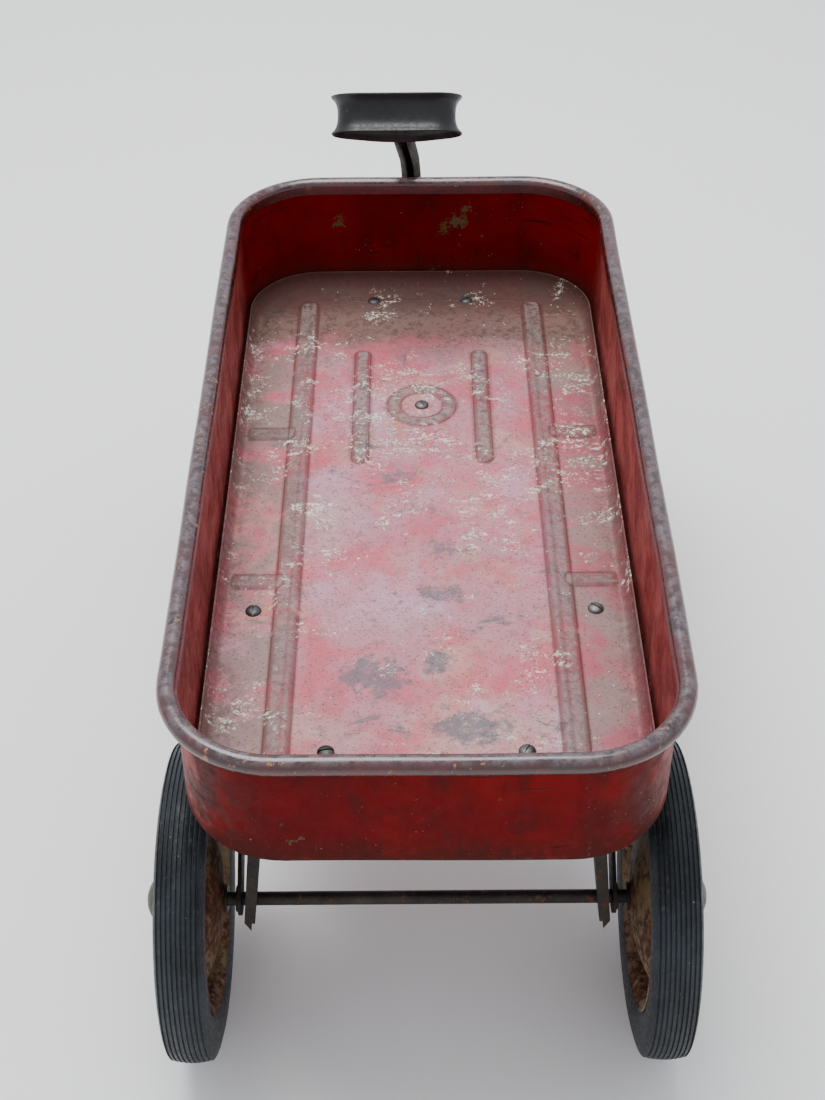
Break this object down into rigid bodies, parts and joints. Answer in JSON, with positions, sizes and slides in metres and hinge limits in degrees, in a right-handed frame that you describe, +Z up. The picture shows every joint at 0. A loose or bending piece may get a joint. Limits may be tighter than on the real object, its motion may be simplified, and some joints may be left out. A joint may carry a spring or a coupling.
{
  "type": "coaster wagon with pull handle",
  "caption": "Child's pressed-steel coaster wagon: shallow tub with a rolled rim, rubber-tyred disc wheels, steered front truck and a bent pull handle with a D-shaped grip.",
  "frame": {"origin": "on the ground under the middle of the whole wagon, tongue included", "axes": "+X to the wagon's right, +Y to its front where the tongue is, +Z up"},
  "size_m": [0.4506, 0.9536, 0.5548],
  "materials": {
    "red_enamel": "worn, faded red enamel over steel, chipped along the rim",
    "floor_enamel": "faded red enamel, scuffed to bare metal on the raised beads",
    "dark_steel": "black paint worn to brown rust",
    "axle_steel": "dull, oily steel with surface rust",
    "fastener_steel": "dull dark steel",
    "tyre_rubber": "dusty black rubber",
    "wheel_enamel": "cream enamel stained brown with rust",
    "cap_metal": "worn grey-olive",
    "tongue_steel": "black paint worn to grey and olive",
    "grip_steel": "dark blue-black enamel with a soft shine"
  },
  "bodies": {
    "wagon_body": {"body_shell": "red_enamel", "floor_pan": "floor_enamel", "floor_bolts": "fastener_steel", "floor_nuts": "fastener_steel", "rear_axle_bracket": "dark_steel", "rear_brace_left": "dark_steel", "rear_brace_right": "dark_steel", "rear_axle": "axle_steel", "rear_axle_split_pins": "axle_steel", "rear_axle_washers": "axle_steel", "front_bolster": "dark_steel", "turntable_wear_disc": "dark_steel", "kingpin": "fastener_steel", "kingpin_washer": "fastener_steel", "kingpin_nut": "fastener_steel"},
    "front_truck": {"front_fork": "dark_steel", "front_axle": "axle_steel", "front_axle_split_pins": "axle_steel", "front_axle_washers": "axle_steel", "draft_arm_left": "dark_steel", "draft_arm_right": "dark_steel", "drawbar_brace": "dark_steel", "drawbar_brace_rivet": "fastener_steel", "hinge_pin": "fastener_steel", "hinge_nut": "fastener_steel"},
    "tongue": {"tongue_shaft": "tongue_steel", "tongue_eye": "tongue_steel", "grip": "grip_steel", "grip_collar": "tongue_steel"},
    "front_left_wheel": {"front_left_tyre": "tyre_rubber", "front_left_outer_disc": "wheel_enamel", "front_left_inner_disc": "wheel_enamel", "front_left_hub": "axle_steel", "front_left_hub_cap": "cap_metal"},
    "front_right_wheel": {"front_right_tyre": "tyre_rubber", "front_right_outer_disc": "wheel_enamel", "front_right_inner_disc": "wheel_enamel", "front_right_hub": "axle_steel", "front_right_hub_cap": "cap_metal"},
    "rear_left_wheel": {"rear_left_tyre": "tyre_rubber", "rear_left_outer_disc": "wheel_enamel", "rear_left_inner_disc": "wheel_enamel", "rear_left_hub": "axle_steel", "rear_left_hub_cap": "cap_metal"},
    "rear_right_wheel": {"rear_right_tyre": "tyre_rubber", "rear_right_outer_disc": "wheel_enamel", "rear_right_inner_disc": "wheel_enamel", "rear_right_hub": "axle_steel", "rear_right_hub_cap": "cap_metal"}
  },
  "joints": [
    {"name": "steering", "type": "hinge", "parent": "wagon_body", "child": "front_truck", "pos_m": [0, 0.24219, 0.1987], "axis": [0, 0, 1], "range_deg": [-32, 32]},
    {"name": "tongue_fold", "type": "hinge", "parent": "front_truck", "child": "tongue", "pos_m": [0, 0.44519, 0.127], "axis": [-0.9988, 0.0262, -0.041], "range_deg": [0, 112]},
    {"name": "rear_left_spin", "type": "hinge", "parent": "wagon_body", "child": "rear_left_wheel", "pos_m": [-0.1854, -0.34981, 0.127], "axis": [1, 0, 0], "continuous": true},
    {"name": "rear_right_spin", "type": "hinge", "parent": "wagon_body", "child": "rear_right_wheel", "pos_m": [0.1854, -0.34981, 0.127], "axis": [1, 0, 0], "continuous": true},
    {"name": "front_left_spin", "type": "hinge", "parent": "front_truck", "child": "front_left_wheel", "pos_m": [-0.1854, 0.24219, 0.127], "axis": [1, 0, 0], "continuous": true},
    {"name": "front_right_spin", "type": "hinge", "parent": "front_truck", "child": "front_right_wheel", "pos_m": [0.1854, 0.24219, 0.127], "axis": [1, 0, 0], "continuous": true}
  ]
}
